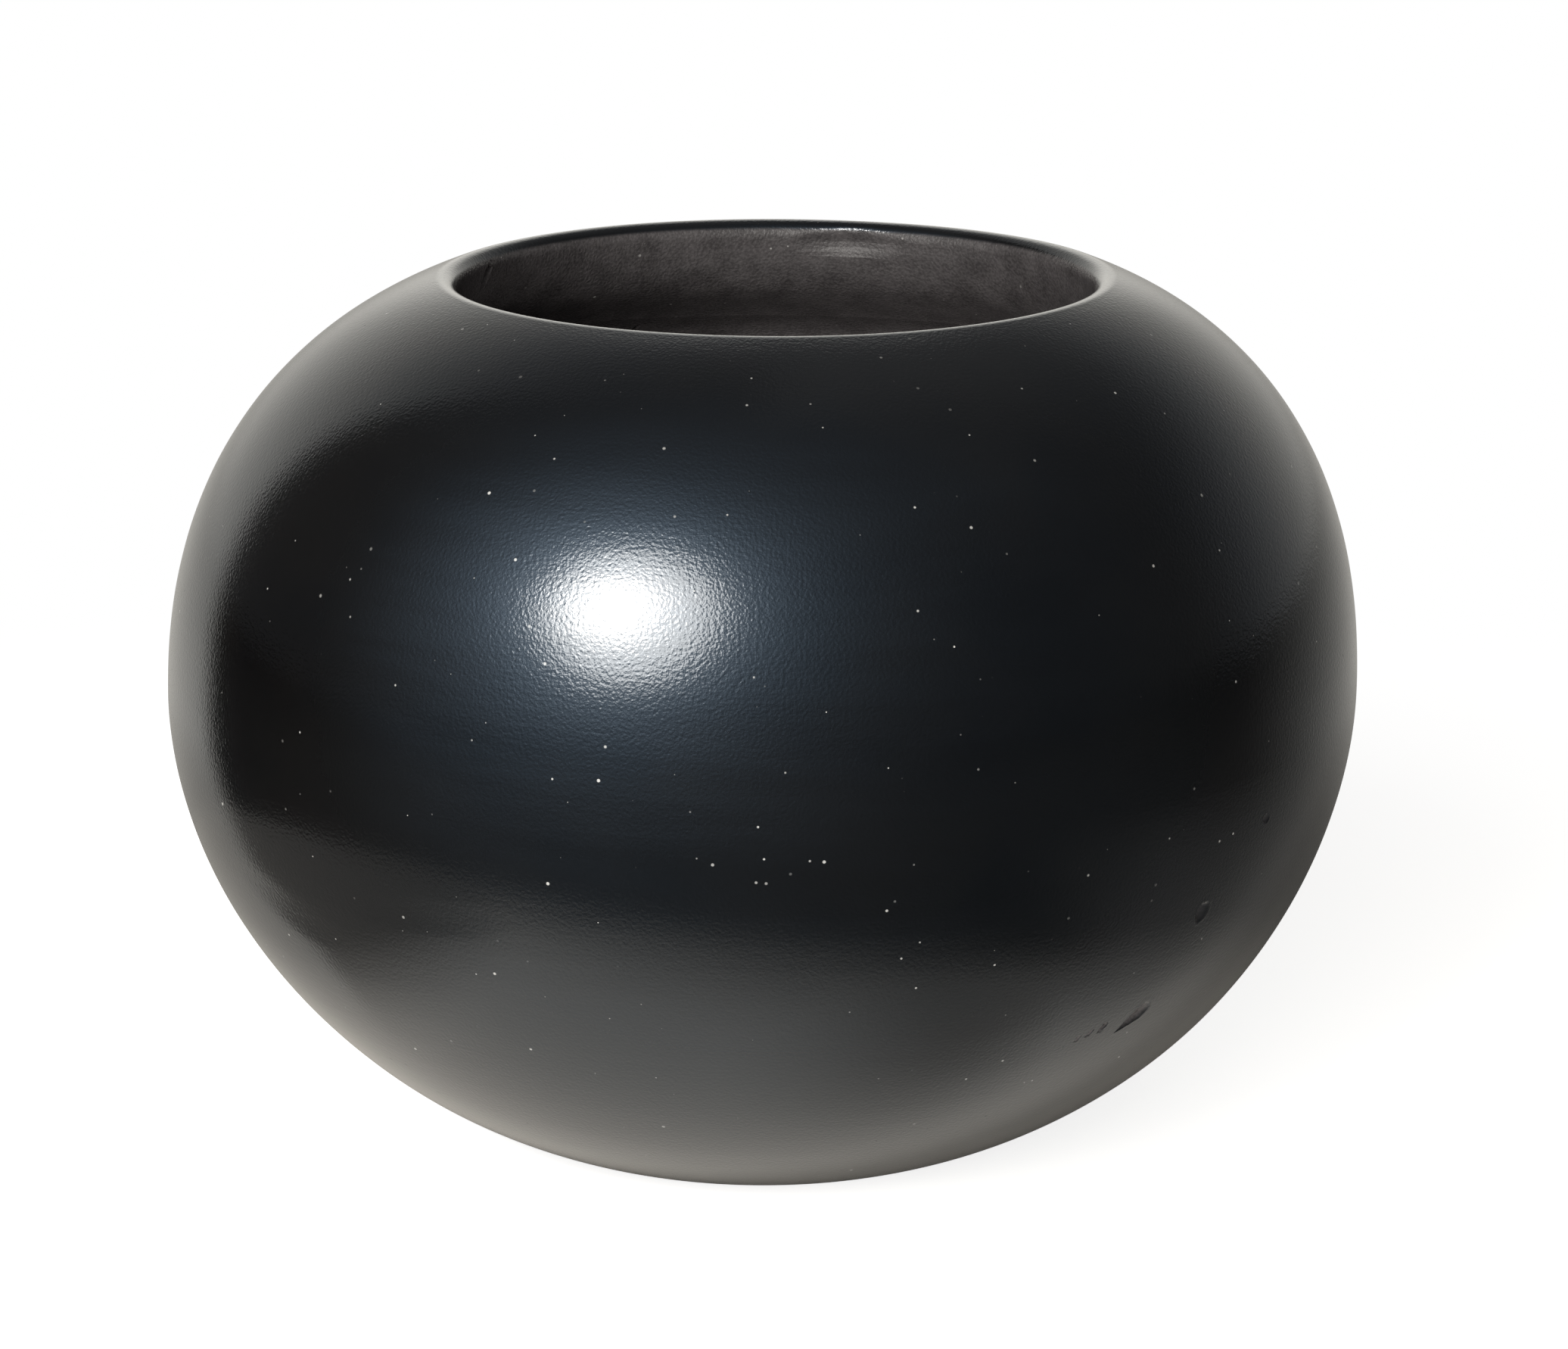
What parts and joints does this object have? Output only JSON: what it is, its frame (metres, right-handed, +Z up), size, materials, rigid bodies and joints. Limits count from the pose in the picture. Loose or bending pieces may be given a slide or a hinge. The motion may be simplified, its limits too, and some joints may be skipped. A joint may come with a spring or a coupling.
{
  "type": "pottery jar",
  "caption": "Round coil-built pottery jar with a flat foot, full belly, drawn-in shoulder and plain rounded lip; holds dry goods and stands on its foot.",
  "frame": {"origin": "centre of the flat foot, on the surface that the jar stands on", "axes": "+Z up through the mouth; +X to the right and -Y towards the viewer, as the picture shows the jar"},
  "size_m": [0.127, 0.127, 0.0924],
  "materials": {
    "smoked_clay": "gloss"
  },
  "bodies": {
    "root": {"base_pat": "smoked_clay", "wall_coil_1": "smoked_clay", "wall_coil_2": "smoked_clay", "wall_coil_3": "smoked_clay", "wall_coil_4": "smoked_clay", "wall_coil_5": "smoked_clay", "wall_coil_6": "smoked_clay", "wall_coil_7": "smoked_clay", "rim_coil": "smoked_clay"}
  },
  "joints": []
}
